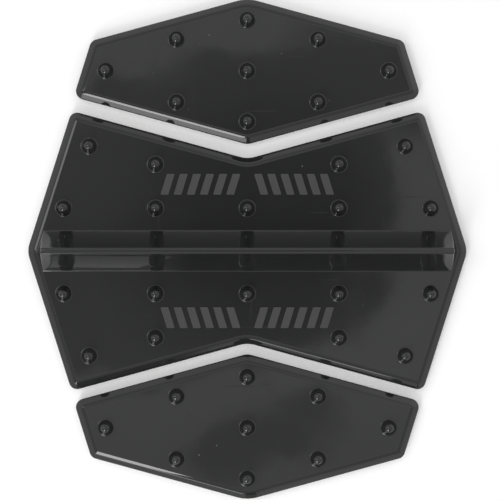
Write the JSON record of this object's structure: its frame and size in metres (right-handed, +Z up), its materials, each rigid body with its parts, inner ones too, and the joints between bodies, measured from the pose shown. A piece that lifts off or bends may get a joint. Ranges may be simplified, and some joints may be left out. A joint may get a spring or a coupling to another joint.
{
  "type": "snowboard stomp pad",
  "caption": "Stick-on traction pad for a snowboard deck: swept wing sections around a ridged centre section, with cone studs on foam tape and release liners.",
  "frame": {"origin": "on the surface that the liners lie on, under the middle of the whole pad's outline", "axes": "+Z up, away from the deck; +Y from the rear wing to the front wing; +X to the right of that, along the cross ridge"},
  "size_m": [0.1122, 0.1278, 0.0099],
  "materials": {
    "plate": "gloss",
    "tape": "matte",
    "liner": "satin"
  },
  "bodies": {
    "liners": {"front_liner": "liner", "center_liner": "liner", "rear_liner": "liner"},
    "front_section": {"front_pad": "plate", "front_adhesive": "tape"},
    "center_section": {"center_pad": "plate", "center_adhesive": "tape"},
    "rear_section": {"rear_pad": "plate", "rear_adhesive": "tape"}
  },
  "joints": [
    {"name": "front_section_lift", "type": "slide", "parent": "liners", "child": "front_section", "axis": [0, 0, 1], "range_m": [0, 0.03]},
    {"name": "center_section_lift", "type": "slide", "parent": "liners", "child": "center_section", "axis": [0, 0, 1], "range_m": [0, 0.03]},
    {"name": "rear_section_lift", "type": "slide", "parent": "liners", "child": "rear_section", "axis": [0, 0, 1], "range_m": [0, 0.03]}
  ]
}
